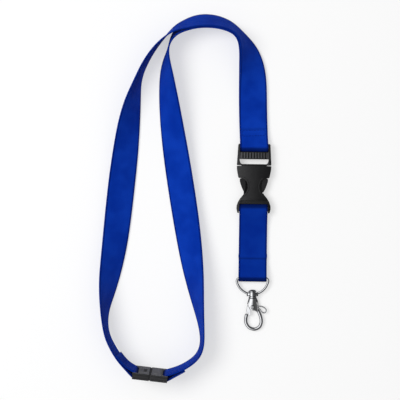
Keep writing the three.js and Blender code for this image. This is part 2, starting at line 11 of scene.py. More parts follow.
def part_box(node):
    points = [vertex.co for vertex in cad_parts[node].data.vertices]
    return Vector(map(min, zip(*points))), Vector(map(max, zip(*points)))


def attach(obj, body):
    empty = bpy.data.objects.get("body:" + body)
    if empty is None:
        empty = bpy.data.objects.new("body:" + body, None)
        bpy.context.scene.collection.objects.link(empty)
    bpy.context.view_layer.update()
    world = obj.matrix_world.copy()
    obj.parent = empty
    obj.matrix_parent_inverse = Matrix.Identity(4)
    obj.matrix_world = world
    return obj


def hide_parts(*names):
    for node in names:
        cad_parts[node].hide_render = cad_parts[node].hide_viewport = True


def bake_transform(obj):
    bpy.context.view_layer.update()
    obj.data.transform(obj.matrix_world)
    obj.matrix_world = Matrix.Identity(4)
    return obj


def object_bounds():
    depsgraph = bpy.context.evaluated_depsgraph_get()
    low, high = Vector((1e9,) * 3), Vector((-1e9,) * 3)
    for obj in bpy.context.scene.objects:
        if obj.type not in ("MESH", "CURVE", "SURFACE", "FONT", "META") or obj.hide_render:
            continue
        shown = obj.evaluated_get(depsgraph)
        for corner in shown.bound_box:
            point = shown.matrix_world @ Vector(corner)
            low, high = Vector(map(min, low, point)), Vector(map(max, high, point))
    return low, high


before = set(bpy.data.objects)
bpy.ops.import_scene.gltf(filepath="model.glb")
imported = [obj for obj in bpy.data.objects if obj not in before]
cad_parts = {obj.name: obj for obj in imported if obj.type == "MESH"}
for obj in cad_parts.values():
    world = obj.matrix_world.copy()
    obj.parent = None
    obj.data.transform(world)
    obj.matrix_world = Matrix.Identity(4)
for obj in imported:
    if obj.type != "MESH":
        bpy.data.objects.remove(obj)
cad_bounds = [list(corner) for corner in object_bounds()]
random.seed(7)

# ---- sizes, in millimetres --------------------------------------------------------------------

STRAP_W = 20.0
STRAP_T = 1.0
PLY_GAP = 0.3
PLY_SIDE = (STRAP_T + PLY_GAP) / 2
WRAP_R = 1.7
RING_WRAP = 1.9
TAIL_LENGTH = 19.0
SEAM_GAP = 0.3
NECK_BAR_Y = 12.0
BADGE_BAR_Y = -29.6
BUCKLE_Z = 3.3
RING_BAR_Y = -80.2
RING_BAR_Z = 3.1
RING_R = 11.4
CLASP_W = 23.8
CLASP_T = 4.6
CLASP_BAR_U = 10.9
NECK_ENTRY, CLASP_ENTRY, BADGE_ENTRY = 2.2, 2.6, 2.4
SPLINE_SHARE = 0.9  # a spline round a bar runs this far out along its control points' radius
BUCKLE_HALF = 12.2
SOCKET_HALF_T = 3.3
SOCKET_CROWN, FRAME_CROWN = 0.34, 0.24

CUP = 0.05
UNEVEN = 0.0035
# Painted shade: the webbing is painted darker at tight folds and along creases.
FOLD_FLAT, FOLD_RANGE = 0.12, 0.25
FOLD_SHADE_SPREAD = 1.5
FOLD_SHADED = 0.6

STITCH = 1.9
STITCH_GAP = 0.06
STITCH_SLIP = 0.05
THREAD_R = 0.2
THREAD_TIP_R = 0.08
THREAD_SUNK, THREAD_BOW = 0.16, 0.22
BOX_HALF = 8
JOIN_LOW, JOIN_HIGH = 9.1, 13.1
NECK_TURN = 12
TAIL_SEWN_FROM, TAIL_SEWN_TO = 7, 3
STRETCH_FROM, STRETCH_TO = 68, 39

# The webbing's run, the same rows as the CAD: x, y, tilt of the width, lift.
BOTH_STRANDS = [
    (0.25, 6.7, 0, 1.2), (0, 15, 0, 0.25), (-0.3, 26, 1, 0), (-0.4, 36, 4, 0),
    (-0.5, 45.3, 12, 0), (-1, 54.6, 24, 0), (-2.5, 63, 38, 0), (-4.6, 70.3, 54, 0),
    (-8, 77.8, 70, 0), (-12.2, 82.6, 72, 0), (-17.8, 86.3, 66, 0), (-24.6, 88.9, 62, 0),
    (-32.4, 90.1, 59, 0), (-40.3, 89.6, 60, 0), (-47.4, 87.1, 65, 0),
]
OUTER_STRAND = [
    (-53.6, 85.4, 72, 0), (-60.6, 81, 84, 0), (-70.6, 70.8, 92, 0), (-78.4, 57.8, 96, 0),
    (-82.3, 47.4, 100, 0), (-85.1, 36.7, 116, 0), (-87.3, 25.3, 130, 0), (-89.3, 11.7, 142, 0),
    (-91.1, -3.3, 152, 0), (-93.3, -20.4, 159, 0), (-95.7, -41.9, 160, 0), (-98.1, -64, 152, 0),
    (-100.4, -79.7, 142, 0), (-102.7, -93.3, 131, 0), (-104.4, -104.7, 117, 0),
    (-105.6, -114.7, 103, 0.2), (-105.4, -124.7, 96, 0.6), (-103.7, -133.3, 95, 1),
    (-99.9, -141, 96, 1.4),
]
OUTER_TAIL_ZONE = [(-94.9, -147.9, 96, 1.8), (-89.8, -153.7, 96, 2)]
INNER_STRAND = [
    (-53.4, 83.7, 70, 0), (-58, 78.1, 81, 0), (-60.7, 71, 90, 0), (-62, 62.4, 76, 0),
    (-61.9, 53.1, 63, 0), (-61.2, 43.1, 54, 0), (-60, 31.7, 45, 0), (-58.3, 17.4, 36, 0),
    (-55.7, -1.1, 26, 0), (-52.4, -22.6, 20, 0), (-49.4, -41.9, 20, 0), (-46.4, -61.9, 27, 0),
    (-44.1, -78.3, 37, 0), (-42, -92.6, 49, 0), (-40, -106.9, 63, 0), (-38, -119.7, 75, 0.2),
    (-36.6, -130.4, 82, 0.6), (-36.4, -139.4, 84, 1), (-39.1, -147, 84, 1.4),
]
INNER_TAIL_ZONE = [(-45.1, -152.8, 84, 1.8), (-52.8, -157, 84, 2)]

UP = Vector((0, 0, 1))


def frame_of(x, y, z, turn, parent=None, droop=0.0):
    """A part's place: moved, turned about z, then tipped about its own x."""
    local = Matrix.Translation((x, y, z))
    local = local @ Matrix.Rotation(math.radians(turn), 4, "Z")
    local = local @ Matrix.Rotation(math.radians(droop), 4, "X")
    return local if parent is None else parent @ local


def clasp_frame(x=-73.1, y=-159.7, turn=-6.5, lean=6.0):
    """The clasp stands on edge, leaning a little outward."""
    along = Vector((math.cos(math.radians(turn)), math.sin(math.radians(turn)), 0))
    outward = along.cross(UP)
    width = UP * math.cos(math.radians(lean)) + outward * math.sin(math.radians(lean))
    normal = along.cross(width)
    rise = CLASP_W / 2 * width.z + CLASP_T / 2 * abs(normal.z)
    made = Matrix((along, width, normal)).transposed().to_4x4()
    made.translation = Vector((x, y, rise))
    return made


BUCKLE = frame_of(0.35, -12.4, 0, -0.8)
RING = frame_of(0, RING_BAR_Y, RING_BAR_Z, 0.8, BUCKLE, 2.1)
HOOK = frame_of(0, -RING_R, 0, 3, RING)
CLASP = clasp_frame()


def direction_in(matrix, x, y, z):
    return (matrix.to_3x3() @ Vector((x, y, z))).normalized()


# ---- the webbing's path -----------------------------------------------------------------------


def controls(rows, sides):
    """Spline controls (centre, width, side) of a strap resting on the table along its rows."""
    made = []
    for i, (x, y, tilt, lift) in enumerate(rows):
        before, after = rows[max(i - 1, 0)], rows[min(i + 1, len(rows) - 1)]
        along = Vector((after[0] - before[0], after[1] - before[1], 0)).normalized()
        t = math.radians(tilt)
        width = UP.cross(along) * math.cos(t) + UP * math.sin(t)
        level = (STRAP_T / 2 + abs(sides[i])) * abs(math.cos(t))
        z = STRAP_W / 2 * math.sin(t) + level + lift
        made.append((Vector((x, y, z)), width, sides[i]))
    return made


def around_bar(centre, toward, width, radius, entry):
    """Controls for half a turn round a bar, with a straight entry and exit."""
    out = toward.cross(width).normalized()
    bend = radius / SPLINE_SHARE
    turn = [
        (math.cos(math.radians(deg)) * bend, -math.sin(math.radians(deg)) * bend)
        for deg in (-90, -45, 0, 45, 90)
    ]
    route = [(-entry, radius), *turn, (-entry, -radius)]
    return [(centre + toward * u + out * v, width.copy(), 0.0) for u, v in route]


def spline_point(four, t):
    weights = (
        (1 - t) ** 3,
        3 * t**3 - 6 * t**2 + 4,
        -3 * t**3 + 3 * t**2 + 3 * t + 1,
        t**3,
    )
    centre, width, side = Vector(), Vector(), 0.0
    for weight, (c, w, s) in zip(weights, four):
        centre += c * weight / 6
        width += w * weight / 6
        side += s * weight / 6
    return centre, width, side


def stations(points, steps):
    """The strap's path as (centre, across, normal), moved to its own side of the shared line."""
    first = (points[0][0] * 2 - points[1][0], *points[0][1:])
    last = (points[-1][0] * 2 - points[-2][0], *points[-1][1:])
    full = [first, *points, last]
    spans = len(full) - 3
    raw = [spline_point(full[i : i + 4], k / steps) for i in range(spans) for k in range(steps)]
    raw.append(spline_point(full[-4:], 1))
    path = []
    for i, (centre, width, side) in enumerate(raw):
        along = (raw[min(i + 1, len(raw) - 1)][0] - raw[max(i - 1, 0)][0]).normalized()
        across = (width - along * width.dot(along)).normalized()
        normal = along.cross(across)
        path.append((centre + normal * side, across, normal))
    return path


def distances(path):
    run = [0.0]
    for near, far in zip(path, path[1:]):
        run.append(run[-1] + (far[0] - near[0]).length)
    return run


def clasp_end(near, bar_u):
    bar = CLASP @ Vector((bar_u, 0, 0))
    width = direction_in(CLASP, 0, 1, 0)
    toward = bar - near
    toward = (toward - width * toward.dot(width)).normalized()
    return around_bar(bar, toward, width, WRAP_R, CLASP_ENTRY)


def strand_path(strand, tail, sign, bar_u, lead, steps):
    """A strand from the shared run to its clasp bar, round it, and back as a short tail."""
    rows = [*BOTH_STRANDS, *strand, *tail]
    sides = [PLY_SIDE * sign] * len(BOTH_STRANDS)
    sides += [PLY_SIDE * sign / 2] + [0.0] * (len(strand) - 1) + [PLY_SIDE] * len(tail)
    route = controls(rows, sides)
    zone = route[-len(tail) :]
    before = route[-len(tail) - 1]
    back = [*reversed(zone), (before[0], before[1], PLY_SIDE)]
    path = stations([*lead, *route, *clasp_end(zone[-1][0], bar_u), *back], steps)
    bar = CLASP @ Vector((bar_u, 0, 0))
    turn = min(range(len(path)), key=lambda i: (path[i][0] - bar).length)
    run = distances(path)
    return [s for s, d in zip(path, run) if d <= run[turn] + TAIL_LENGTH]


def neck_bar_turn():
    bar = BUCKLE @ Vector((0, NECK_BAR_Y, BUCKLE_Z))
    start = controls(BOTH_STRANDS[:2], [PLY_SIDE] * 2)[0]
    start[0].y -= SEAM_GAP + STRAP_T / 2
    down, left = direction_in(BUCKLE, 0, -1, 0), direction_in(BUCKLE, -1, 0, 0)
    return [start, *around_bar(bar, down, left, WRAP_R, NECK_ENTRY)]


def outer_path(steps):
    return strand_path(OUTER_STRAND, OUTER_TAIL_ZONE, 1, -CLASP_BAR_U, neck_bar_turn(), steps)


def inner_path(steps):
    return strand_path(INNER_STRAND, INNER_TAIL_ZONE, -1, CLASP_BAR_U, [], steps)


def badge_path(steps):
    width = direction_in(BUCKLE, -1, 0, 0)

    def at(y, z):
        return BUCKLE @ Vector((0, y, z)), width.copy(), 0.0

    def turn(y, z, up, radius):
        toward = direction_in(BUCKLE, 0, up, 0)
        bar = BUCKLE @ Vector((0, y, z))
        made = around_bar(bar, toward, -width, radius, BADGE_ENTRY)
        return [(centre, width.copy(), side) for centre, _, side in made]

    under = [at(-51, 0.6), at(-45, 0.55), at(-39, 0.7)]
    top = turn(BADGE_BAR_Y, BUCKLE_Z, 1, WRAP_R)
    over = [at(-39, 2.7), at(-46, 1.95), at(-58, 1.85), at(-70, 2.2)]
    bottom = turn(RING_BAR_Y, RING_BAR_Z, -1, RING_WRAP)
    back = [at(-71, 0.7), at(-62, 0.55), at(-51.4, 0.6)]
    return stations([*under, *top, *over, *bottom, *back], steps)


def corners(path):
    for centre, across, normal in path:
        for a in (-1, 1):
            for b in (-1, 1):
                yield centre + across * (a * STRAP_W / 2) + normal * (b * STRAP_T / 2)


# The layout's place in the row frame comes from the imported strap's own box.
COARSE = list(corners(outer_path(4)))
LOW = Vector([min(p[k] for p in COARSE) for k in range(3)])
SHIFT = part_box("neck_strap_outer")[0] - LOW * 0.001
PLACE = Matrix.Translation(SHIFT) @ Matrix.Scale(0.001, 4)

# ---- meshes -----------------------------------------------------------------------------------


def add_object(name, verts, faces, material, matrix=PLACE, uvs=None, smooth=True):
    mesh = bpy.data.meshes.new(name)
    mesh.from_pydata([matrix @ v for v in verts], [], faces)
    mesh.polygons.foreach_set("use_smooth", [smooth] * len(mesh.polygons))
    if uvs is not None:
        layer = mesh.uv_layers.new(name="shade_web")
        for loop in mesh.loops:
            layer.data[loop.index].uv = uvs[loop.vertex_index]
    mesh.materials.append(material)
    mesh.validate()
    mesh.update()
    obj = bpy.data.objects.new(name, mesh)
    bpy.context.scene.collection.objects.link(obj)
    return obj


def finish_piece(obj, body, slot, *nodes):
    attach(obj, body)
    if nodes:
        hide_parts(*nodes)
    return obj


def band_profile():
    """The webbing's outline as (across, above): rounded selvages, a groove beside each."""
    half, rise, edge_r = STRAP_W / 2, STRAP_T / 2, 0.45
    flat = (9.55, 9.3, 9.05, 8.9, 8.75, 8.5, 7.5, 6, 4, 2, 0)
    groove = {9.05: 0.06, 8.9: 0.11, 8.75: 0.06}
    right = [(a, rise - groove.get(a, 0)) for a in flat]
    edge = [
        (half - edge_r + edge_r * math.cos(t), rise * math.sin(t))
        for t in (math.radians(d) for d in (0, 22, 45, 68))
    ]
    half_top = edge + right
    top = half_top + [(-a, b) for a, b in reversed(half_top[:-1])]
    return top + [(-a, -b) for a, b in top[1:-1]]


PROFILE = band_profile()


def fold_shade(path, run):
    """How much painted shade each station gets for lying near a tight fold, 0 to 1."""
    tight = []
    for i in range(len(path)):
        a, b, c = (path[min(max(k, 0), len(path) - 1)][0] for k in (i - 1, i, i + 1))
        bend = (b - a).angle(c - b, 0.0) / max((c - a).length / 2, 0.05)
        tight.append(min(max((bend - FOLD_FLAT) / FOLD_RANGE, 0), 1))
    painted_folds = [d for d, t in zip(run, tight) if t > FOLD_SHADED]
    return [
        max((1 - min(abs(d - f) / FOLD_SHADE_SPREAD, 1) for f in painted_folds), default=0) for d in run
    ]


def webbing(name, path, material, swell_and_shade=None):
    """A closed ribbon of webbing along its path; swell_and_shade(centre) gives lift, growth and
    painted crease shade. Tight folds and creases are painted darker as painted shade.
    """
    run = distances(path)
    painted_folds = fold_shade(path, run)
    verts, uvs, faces = [], [], []
    size = len(PROFILE)
    for i, ((centre, across, normal), d) in enumerate(zip(path, run)):
        soft = CUP * noise.noise(Vector((d * 0.11, 3.7, 0.2)))
        wide = 1 + UNEVEN * noise.noise(Vector((d * 0.09, 0.4, 8.1)))
        lift, grow, crease_shade = swell_and_shade(centre) if swell_and_shade else (0, 0, 0)
        painted_folds[i] = max(painted_folds[i], crease_shade)
        for a, b in PROFILE:
            cup = soft * (1 - (a / 10) ** 2)
            point = centre + across * (a * (wide + grow)) + normal * (b * (1 + lift) + cup)
            verts.append(point)
            uvs.append((a / STRAP_W + 0.5, d / STRAP_W))
    for i in range(len(path) - 1):
        for k in range(size):
            j = (k + 1) % size
            faces.append((i * size + k, (i + 1) * size + k, (i + 1) * size + j, i * size + j))
    faces.append(tuple(range(size)))
    end = (len(path) - 1) * size
    faces.append(tuple(reversed(range(end, end + size))))
    made = add_object(name, verts, faces, material, uvs=uvs)
    layer = made.data.attributes.new("painted_fold_shade", "FLOAT", "POINT")
    layer.data.foreach_set("value", [f for f in painted_folds for _ in range(size)])
    return made


def on_strap(path, run, distance, across, above):
    """A point above (or below) a strap's middle surface, and the strap's normal there."""
    i = next((k for k, d in enumerate(run) if d >= distance), len(run) - 1)
    i = max(i, 1)
    t = (distance - run[i - 1]) / max(run[i] - run[i - 1], 1e-9)
    centre = path[i - 1][0].lerp(path[i][0], min(max(t, 0), 1))
    _, wide, normal = path[i]
    return centre + wide * across + normal * above, normal


def stitch_mesh(runs):
    """Stitches between pairs of (point, outward): short bowed beads that dive at the ends."""
    verts, faces, uvs = [], [], []
    sides, rings = 8, 7
    for (p, n0), (q, n1) in runs:
        along = (q - p).normalized()
        out = ((n0 + n1) / 2).normalized()
        across = along.cross(out).normalized()
        length = (q - p).length
        base = len(verts)
        for i in range(rings):
            t = i / (rings - 1)
            arch = math.sin(math.pi * t)
            radius = THREAD_R * (0.45 + 0.55 * arch**0.5) if 0 < t < 1 else THREAD_TIP_R
            height = -THREAD_SUNK + THREAD_BOW * arch**0.7
            middle = p + along * (length * t) + out * height
            for k in range(sides):
                a = 2 * math.pi * k / sides
                around = across * (math.cos(a) * radius) + out * (math.sin(a) * radius)
                verts.append(middle + around)
                uvs.append((k / sides, t * length))
        for i in range(rings - 1):
            for k in range(sides):
                j = (k + 1) % sides
                lower, upper = base + i * sides, base + (i + 1) * sides
                faces.append((lower + k, upper + k, upper + j, lower + j))
        faces.append(tuple(base + k for k in range(sides)))
        faces.append(tuple(base + (rings - 1) * sides + k for k in reversed(range(sides))))
    return verts, faces, uvs


def on_face(path, run, distance, across, above):
    """A point on one face of the strap and the way out of that face."""
    point, normal = on_strap(path, run, distance, across, above)
    return point, normal if above > 0 else -normal


def sewn_line(path, run, start, end, above):
    """Stitches from one (distance, across) to another, on one face of the strap."""
    d0, a0 = start
    d1, a1 = end
    count = max(1, round(math.hypot(d1 - d0, a1 - a0) / STITCH))
    made = []
    for i in range(count):
        ends = []
        for t in ((i + STITCH_GAP) / count, (i + 1 - STITCH_GAP) / count):
            slip = random.uniform(-STITCH_SLIP, STITCH_SLIP)
            distance, across = d0 + (d1 - d0) * t, a0 + (a1 - a0) * t + slip
            ends.append(on_face(path, run, distance, across, above))
        made.append(tuple(ends))
    return made


def sewn_box(path, run, d0, d1, above):
    half = BOX_HALF
    ring = [(d0, -half), (d0, half), (d1, half), (d1, -half), (d0, -half)]
    made = []
    for near, far in zip(ring, ring[1:]):
        made += sewn_line(path, run, near, far, above)
    return made


def thread(name, runs, body, *nodes):
    verts, faces, uvs = stitch_mesh(runs)
    finish_piece(add_object(name, verts, faces, THREAD, uvs=uvs), body, "thread", *nodes)


# ---- materials --------------------------------------------------------------------------------


class Net:
    """A small helper round one material's node tree."""

    def __init__(self, name):
        self.material = bpy.data.materials.new(name)
        self.material.use_nodes = True
        self.tree = self.material.node_tree
        self.tree.nodes.clear()
        self.shader = self.add("ShaderNodeBsdfPrincipled")
        output = self.add("ShaderNodeOutputMaterial")
        self.join(self.shader.outputs[0], output.inputs[0])

    def add(self, kind, **settings):
        node = self.tree.nodes.new(kind)
        for key, value in settings.items():
            setattr(node, key, value)
        return node

    def join(self, source, target):
        self.tree.links.new(source, target)

    def put(self, value, target):
        if isinstance(value, bpy.types.NodeSocket):
            self.join(value, target)
        else:
            target.default_value = value

    def maths(self, operation, *values, clamp=False):
        node = self.add("ShaderNodeMath", operation=operation, use_clamp=clamp)
        for value, socket in zip(values, node.inputs):
            self.put(value, socket)
        return node.outputs[0]

    def span(self, value, low, high, new_low=0.0, new_high=1.0):
        node = self.add("ShaderNodeMapRange", interpolation_type="SMOOTHSTEP")
        for socket, item in zip(node.inputs, (value, low, high, new_low, new_high)):
            self.put(item, socket)
        return node.outputs[0]

    def mix(self, factor, a, b, blend="MIX"):
        node = self.add("ShaderNodeMix", data_type="RGBA", blend_type=blend)
        self.put(factor, node.inputs[0])
        self.put(a, node.inputs[6])
        self.put(b, node.inputs[7])
        return node.outputs[2]

    def noise(self, vector, scale, detail=3.0, rough=0.55):
        node = self.add("ShaderNodeTexNoise")
        self.join(vector, node.inputs["Vector"])
        node.inputs["Scale"].default_value = scale
        node.inputs["Detail"].default_value = detail
        node.inputs["Roughness"].default_value = rough
        return node.outputs[0]

    def place(self):
        return self.add("ShaderNodeTexCoord").outputs["Object"]

    def stretched(self, vector, scale):
        node = self.add("ShaderNodeMapping")
        self.join(vector, node.inputs["Vector"])
        node.inputs["Scale"].default_value = scale
        return node.outputs[0]

    def bump(self, height, strength, distance, below=None):
        node = self.add("ShaderNodeBump")
        node.inputs["Strength"].default_value = strength
        node.inputs["Distance"].default_value = distance
        self.join(height, node.inputs["Height"])
        if below is not None:
            self.join(below, node.inputs["Normal"])
        return node.outputs[0]

    def set(self, **values):
        for key, value in values.items():
            self.put(value, self.shader.inputs[key.replace("_", " ")])


def rgb(r, g, b):
    """Linear colour from 0-255 values as a screen shows them."""
    levels = (v / 255 for v in (r, g, b))
    return (*(v / 12.92 if v <= 0.04045 else ((v + 0.055) / 1.055) ** 2.4 for v in levels), 1)


def webbing_material(name, low, high):
    net = Net(name)
    uv = net.add("ShaderNodeUVMap", uv_map="shade_web")
    split = net.add("ShaderNodeSeparateXYZ")
    net.join(uv.outputs[0], split.inputs[0])
    across = net.maths("MULTIPLY", net.maths("SUBTRACT", split.outputs[0], 0.5), STRAP_W)
    along = net.maths("MULTIPLY", split.outputs[1], STRAP_W)
    edge = net.maths("ABSOLUTE", across)
    both = net.add("ShaderNodeCombineXYZ")
    net.join(along, both.inputs[0])
    net.join(across, both.inputs[1])
    # Warp floats lie along the strap, each row half a float on from the next.
    brick = net.add("ShaderNodeTexBrick", offset=0.5, squash=1.0)
    net.join(both.outputs[0], brick.inputs["Vector"])
    for label, value in (
        ("Scale", 1.0), ("Mortar Size", 0.11), ("Mortar Smooth", 1.0),
        ("Brick Width", 1.1), ("Row Height", 0.46), ("Bias", 0.0),
    ):
        brick.inputs[label].default_value = value
    gap = brick.outputs["Fac"]
    selvage = net.span(edge, 8.72, 9.0)
    groove = net.maths("MULTIPLY", selvage, net.span(edge, 9.0, 9.25, 1.0, 0.0))
    broad = net.noise(both.outputs[0], 0.055, 2.0)
    streak = net.noise(net.stretched(both.outputs[0], (0.35, 2.2, 1)), 1.3, 4.0, 0.6)
    fibre = net.noise(net.stretched(both.outputs[0], (2.5, 16, 1)), 1.0, 2.0)
    base = net.mix(net.span(broad, 0.3, 0.7), low, high)
    base = net.mix(net.maths("MULTIPLY", streak, 0.3), base, rgb(1, 33, 124))
    base = net.mix(net.maths("MULTIPLY", gap, 0.5), base, rgb(1, 16, 84))
    base = net.mix(net.maths("MULTIPLY", fibre, 0.14), base, rgb(8, 78, 215))
    base = net.mix(net.maths("MULTIPLY", selvage, 0.55), base, rgb(1, 18, 88))
    # The groove beside each selvage is painted near-black navy: painted shade in the recess.
    base = net.mix(net.maths("MULTIPLY", groove, 0.6), base, rgb(1, 8, 52))
    # Painted shade: the base is darkened toward navy at tight folds and creases.
    painted_fold_shade = net.add("ShaderNodeAttribute", attribute_name="painted_fold_shade").outputs["Fac"]
    base = net.mix(net.maths("MULTIPLY", painted_fold_shade, 0.72), base, rgb(1, 10, 52))
    height = net.maths("SUBTRACT", net.maths("MULTIPLY", fibre, 0.3), gap)
    height = net.maths("SUBTRACT", height, net.maths("MULTIPLY", groove, 0.8))
    rough = net.span(streak, 0.2, 0.8, 0.44, 0.62)
    net.set(Base_Color=base, Roughness=rough, Normal=net.bump(height, 0.55, 0.00012))
    net.set(Sheen_Weight=0.02, Sheen_Roughness=0.35, Sheen_Tint=rgb(60, 110, 255))
    net.set(Specular_IOR_Level=0.03)
    return net.material


def thread_material():
    net = Net("sewing_thread")
    uv = net.add("ShaderNodeUVMap", uv_map="shade_web")
    twist = net.add("ShaderNodeTexWave", wave_type="BANDS", bands_direction="DIAGONAL")
    net.join(net.stretched(uv.outputs[0], (2.0, 5.0, 1)), twist.inputs["Vector"])
    twist.inputs["Scale"].default_value = 0.6
    twist.inputs["Distortion"].default_value = 0.4
    shade = net.mix(twist.outputs["Fac"], rgb(1, 24, 100), rgb(6, 52, 172))
    net.set(Base_Color=shade, Normal=net.bump(twist.outputs["Fac"], 0.6, 0.00006))
    net.set(Roughness=net.span(twist.outputs["Fac"], 0, 1, 0.6, 0.42))
    net.set(Sheen_Weight=0.04, Sheen_Tint=rgb(60, 110, 255), Specular_IOR_Level=0.06)
    return net.material


def plastic_material(name, dark, light, rough):
    """Moulded acetal: fine spark-eroded grain, faint flow lines, scuffs that catch the light."""
    net = Net(name)
    spot = net.place()
    grain = net.noise(spot, 5200, 3.0, 0.6)
    cloud = net.noise(spot, 130, 3.0)
    flow = net.noise(net.stretched(spot, (1, 0.18, 1)), 420, 2.0)
    scuff = net.span(net.noise(net.stretched(spot, (2.4, 0.5, 2.4)), 640, 5.0, 0.7), 0.6, 0.78)
    base = net.mix(cloud, dark, light)
    base = net.mix(net.maths("MULTIPLY", scuff, 0.22), base, rgb(92, 93, 97))
    base = net.mix(net.maths("MULTIPLY", grain, 0.08), base, rgb(70, 71, 75))
    worn = net.span(cloud, 0.25, 0.75, rough - 0.05, rough + 0.08)
    worn = net.maths("ADD", worn, net.maths("MULTIPLY", scuff, 0.12))
    fine = net.bump(grain, 0.3, 0.00003)
    net.set(Base_Color=base, Roughness=worn, Normal=net.bump(flow, 0.12, 0.00012, fine))
    net.set(Specular_IOR_Level=0.5)
    return net.material


def chrome_material(name, bright, dull):
    """Nickel-chrome plate over die-cast zinc, with hairline scratches and duller patches at
    random; made near-black, the same recipe is the painted shade on the metal parts.
    """
    net = Net(name)
    spot = net.place()
    cloud = net.noise(spot, 210, 3.0)
    hair = net.noise(net.stretched(spot, (9, 0.6, 3)), 900, 4.0, 0.7)
    pits = net.span(net.noise(spot, 2600, 2.0), 0.66, 0.8)
    base = net.mix(net.span(cloud, 0.3, 0.75), bright, dull)
    base = net.mix(net.maths("MULTIPLY", pits, 0.35), base, rgb(120, 122, 126))
    rough = net.span(cloud, 0.25, 0.8, 0.07, 0.19)
    rough = net.maths("ADD", rough, net.maths("MULTIPLY", pits, 0.12))
    skin = net.bump(hair, 0.05, 0.00004)
    net.set(Base_Color=base, Metallic=1.0, Roughness=rough)
    net.set(Normal=net.bump(cloud, 0.1, 0.0002, skin))
    return net.material


def floor_material():
    net = Net("pale_table")
    spot = net.place()
    haze = net.noise(spot, 3.0, 2.0)
    net.set(Base_Color=net.mix(haze, (0.45, 0.45, 0.45, 1), (0.47, 0.47, 0.47, 1)))
    net.set(Roughness=0.75, Specular_IOR_Level=0.1)
    # A light table: its own faint glow keeps the shadows pale.
    net.set(Emission_Color=(1, 1, 1, 1), Emission_Strength=0.52)
    # Polished metal mirrors the table darker than it is lit: a painted reflection.
    shade = net.add("ShaderNodeBsdfDiffuse")
    shade.inputs["Color"].default_value = (0.16, 0.16, 0.17, 1)
    choice = net.add("ShaderNodeMixShader")
    ray = net.add("ShaderNodeLightPath")
    net.join(ray.outputs["Is Glossy Ray"], choice.inputs[0])
    net.join(net.shader.outputs[0], choice.inputs[1])
    net.join(shade.outputs[0], choice.inputs[2])
    output = next(n for n in net.tree.nodes if n.type == "OUTPUT_MATERIAL")
    net.join(choice.outputs[0], output.inputs[0])
    return net.material


WEBBING = webbing_material("webbing_blue", rgb(4, 48, 163), rgb(14, 64, 187))
WEBBING_BADGE = webbing_material("webbing_blue_badge", rgb(2, 39, 142), rgb(8, 52, 158))
THREAD = thread_material()
PLASTIC = plastic_material("plastic_black", rgb(8, 8, 10), rgb(15, 15, 17), 0.3)
# Painted light on the buckle's grip ribs: lighter tops are painted highlight, darker hollows
# painted shade.
PLASTIC_RIB_HIGHLIGHT = plastic_material("plastic_rib_highlight", rgb(52, 52, 54), rgb(74, 74, 77), 0.38)
PLASTIC_RIB_SHADE = plastic_material("plastic_rib_shade", rgb(3, 3, 4), rgb(7, 7, 8), 0.6)
CLASP_PLASTIC = plastic_material("plastic_clasp", rgb(92, 92, 95), rgb(118, 118, 121), 0.5)
# A darker copy of the clasp plastic: painted shade on the clasp's upper edge.
CLASP_EDGE_SHADE = plastic_material("plastic_clasp_edge_shade", rgb(22, 22, 24), rgb(34, 34, 36), 0.45)
CHROME = chrome_material("chrome", (0.8, 0.81, 0.83, 1), (0.62, 0.63, 0.66, 1))
# Near-black chrome for painted shade in joints, grooves and along edges of the metal parts.
CHROME_SHADE = chrome_material("chrome_painted_shade", (0.07, 0.07, 0.075, 1), (0.035, 0.035, 0.04, 1))

# ---- webbing and thread -----------------------------------------------------------------------

FINE = 10
OUTER = outer_path(FINE)
INNER = inner_path(FINE)
BADGE = badge_path(FINE)
OUTER_RUN, INNER_RUN, BADGE_RUN = distances(OUTER), distances(INNER), distances(BADGE)
TOP = STRAP_T / 2
UNDER_BOTH = -(STRAP_T / 2 + PLY_GAP + STRAP_T)
SEAM = (BUCKLE @ Vector((0, -64.5, 1.85))).y


def join_pinch_and_shade(centre):
    """The upper strand is pinched along the top of the sewn box that joins it to the lower, and
    painted shade darkens it there.
    """
    near = math.exp(-(((centre.y - 13.9) / 0.5) ** 2)) if abs(centre.x) < 5 else 0.0
    return -0.25 * near, 0.0, 0.5 * near


def sewn_swell_and_shade(centre):
    """The badge strap stands a little thicker and wider over the ply sewn inside it, with a line
    of painted shade just below the seam.
    """
    near = math.exp(-(((centre.y - SEAM) / 1.6) ** 2)) if centre.z > 1.2 else 0.0
    crease_shade = math.exp(-(((centre.y - SEAM + 1.7) / 0.55) ** 2)) if centre.z > 1.2 else 0.0
    return 0.8 * near, 0.025 * near, 0.6 * crease_shade


outer = webbing("webbing_outer_strand", OUTER, WEBBING, join_pinch_and_shade)
finish_piece(outer, "neck", "webbing", "neck_strap_outer")
inner = webbing("webbing_inner_strand", INNER, WEBBING)
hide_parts("neck_strap_inner", "strap_end_plug")
FREE_END = INNER_RUN[-1]
blend_from, _ = on_strap(INNER, INNER_RUN, FREE_END - STRETCH_FROM, 0, 0)
blend_to, _ = on_strap(INNER, INNER_RUN, FREE_END - STRETCH_TO, 0, 0)
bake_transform(inner)
badge = webbing("webbing_badge_strap", BADGE, WEBBING_BADGE, sewn_swell_and_shade)
finish_piece(badge, "badge_half", "webbing", "badge_strap")


def run_at(path, run, y, after=0.0, high=0.0):
    """How far along a strap its middle first crosses y, past a distance and above a height."""
    pairs = zip(path, path[1:], run)
    return next(
        d
        for near, far, d in pairs
        if d > after and near[0].z > high and (near[0].y - y) * (far[0].y - y) <= 0
    )


